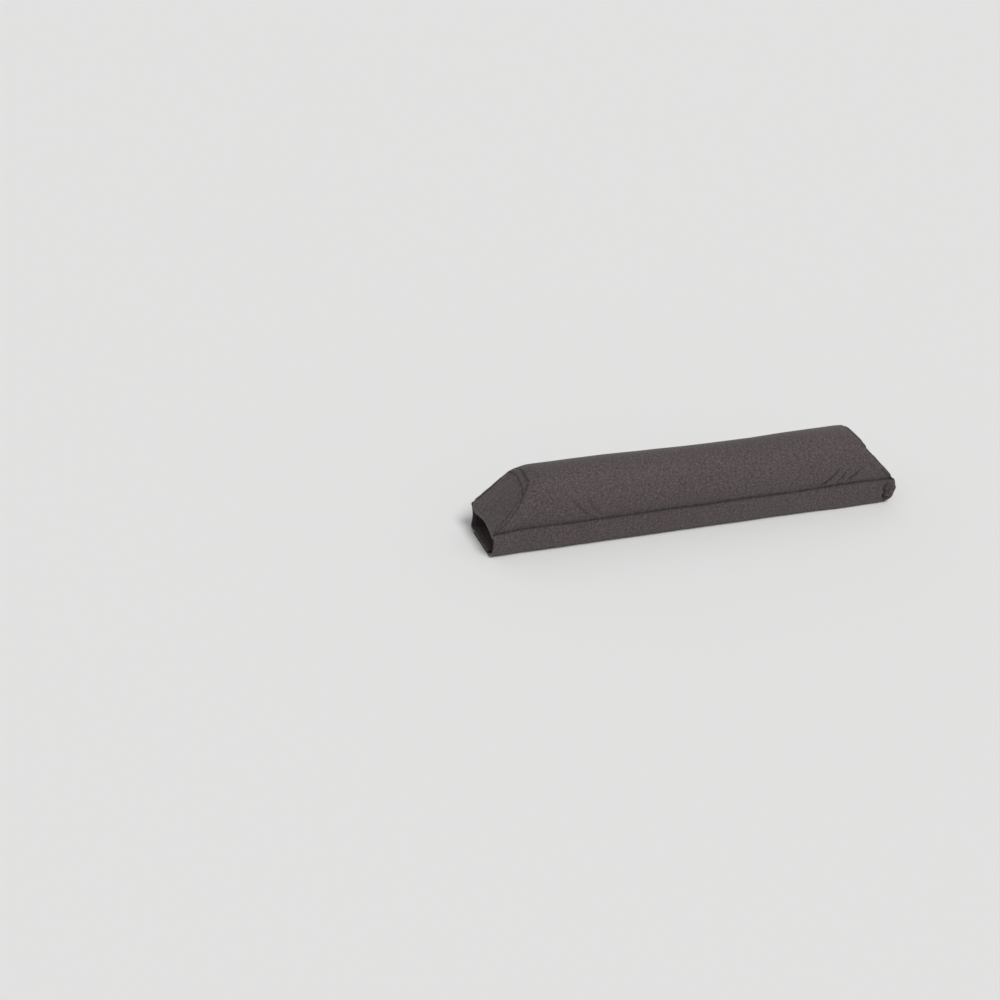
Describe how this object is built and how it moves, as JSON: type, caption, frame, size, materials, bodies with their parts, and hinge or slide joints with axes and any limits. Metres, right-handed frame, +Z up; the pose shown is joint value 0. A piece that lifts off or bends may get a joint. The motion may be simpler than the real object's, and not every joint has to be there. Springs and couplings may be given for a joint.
{
  "type": "roof rack pad",
  "caption": "Long foam pad in a sewn cloth cover that wraps a flat roof rack slat and closes under it with hook and loop tape.",
  "frame": {"origin": "middle of the pad's length and width, on the flat underside of the lowest flap", "axes": "+X along the pad and the slat that it wraps, +Z up from the slat to the crown, -Y towards the front flap's side"},
  "size_m": [0.6, 0.089, 0.1042],
  "materials": {
    "cover_cloth": "matte woven polyester, warm charcoal",
    "foam": "closed-cell foam, pale grey",
    "hook_tape": "black nylon hook tape",
    "loop_tape": "black nylon loop tape"
  },
  "bodies": {
    "root": {"foam_core": "foam", "top_cover": "cover_cloth", "end_panel_left": "cover_cloth", "end_panel_right": "cover_cloth", "base_panel": "cover_cloth", "front_flap": "cover_cloth", "rear_flap": "cover_cloth", "hook_strip": "hook_tape", "loop_strip": "loop_tape"}
  },
  "joints": []
}
